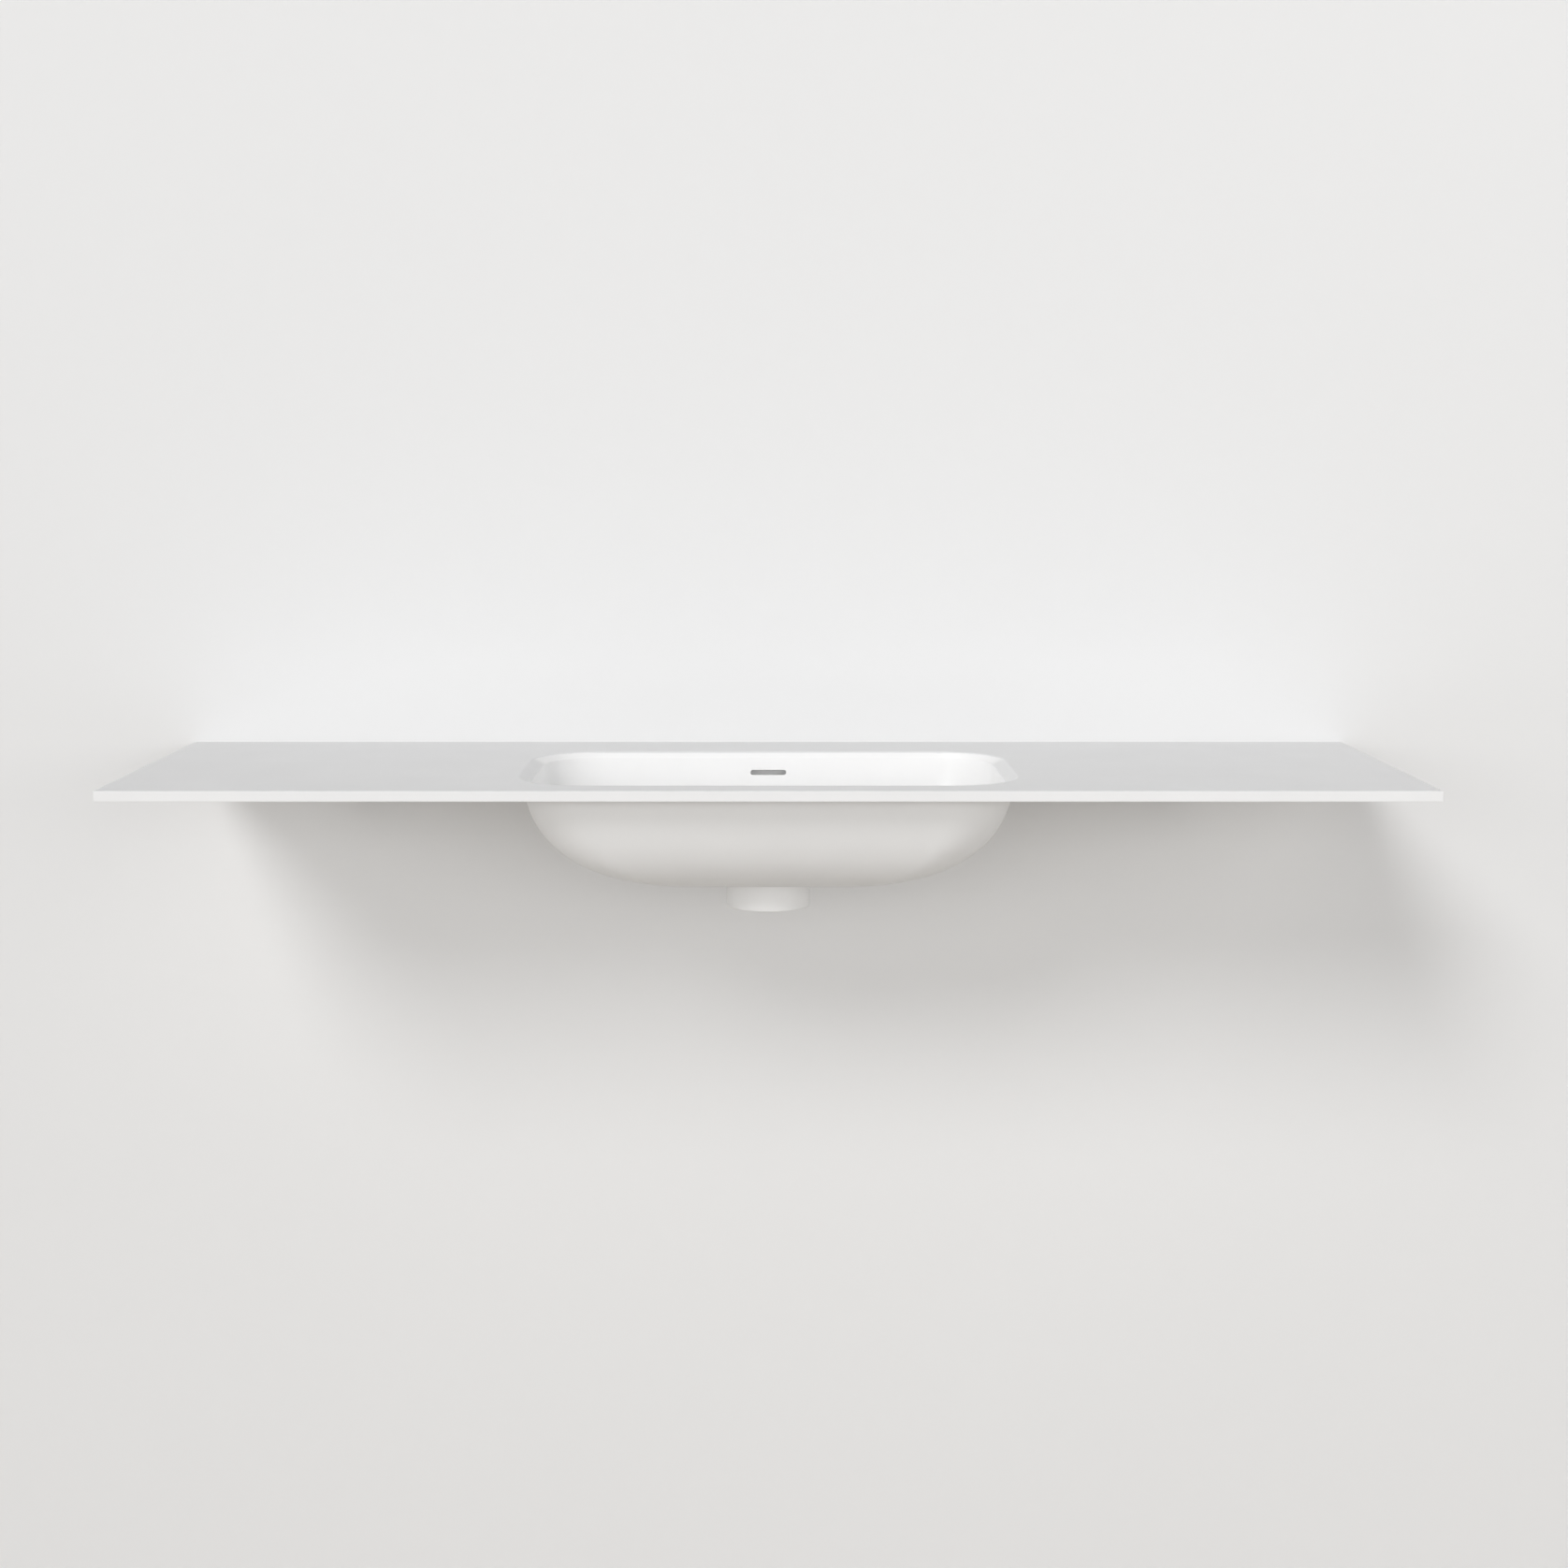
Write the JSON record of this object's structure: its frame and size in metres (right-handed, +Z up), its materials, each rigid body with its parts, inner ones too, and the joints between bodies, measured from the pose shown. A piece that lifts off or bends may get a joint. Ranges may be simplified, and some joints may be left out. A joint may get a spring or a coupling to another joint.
{
  "type": "vanity sink top",
  "caption": "Wall-hung vanity top: a thin white slab with a wide rounded basin bonded under its opening, a rear overflow slot, a pop-up drain plug and hidden wall brackets.",
  "frame": {"origin": "middle of the slab's rear top edge, on the wall's face", "axes": "+X to the right seen from the front, +Y into the wall, +Z up"},
  "size_m": [1.5, 0.46, 0.1665],
  "materials": {
    "solid_surface": "satin white",
    "ring_brass": "machined",
    "waste_chrome": "polished",
    "seal_rubber": "matt black",
    "pad_rubber": "matt dark grey",
    "cartridge_plastic": "moulded white",
    "fixing_steel": "plain bright",
    "bracket_paint": "white powder coat"
  },
  "bodies": {
    "sink_top": {"countertop_slab": "solid_surface", "basin_bowl": "solid_surface", "overflow_channel": "solid_surface", "drain_boss": "solid_surface", "outlet_ring": "ring_brass", "threaded_inserts": "ring_brass", "waste_body": "waste_chrome", "outlet_seal": "seal_rubber", "waste_flange_seal": "seal_rubber", "bracket_pad_left": "pad_rubber", "bracket_pad_right": "pad_rubber", "click_cartridge": "cartridge_plastic", "bracket_screws": "fixing_steel", "screw_washers": "fixing_steel", "wall_bracket_left": "bracket_paint", "wall_bracket_right": "bracket_paint"},
    "drain_plug": {"plug_cap": "waste_chrome", "plug_seal": "seal_rubber", "plug_stem": "fixing_steel"}
  },
  "joints": [
    {"name": "plug_lift", "type": "slide", "parent": "sink_top", "child": "drain_plug", "axis": [0, 0, 1], "range_m": [0, 0.008]}
  ]
}
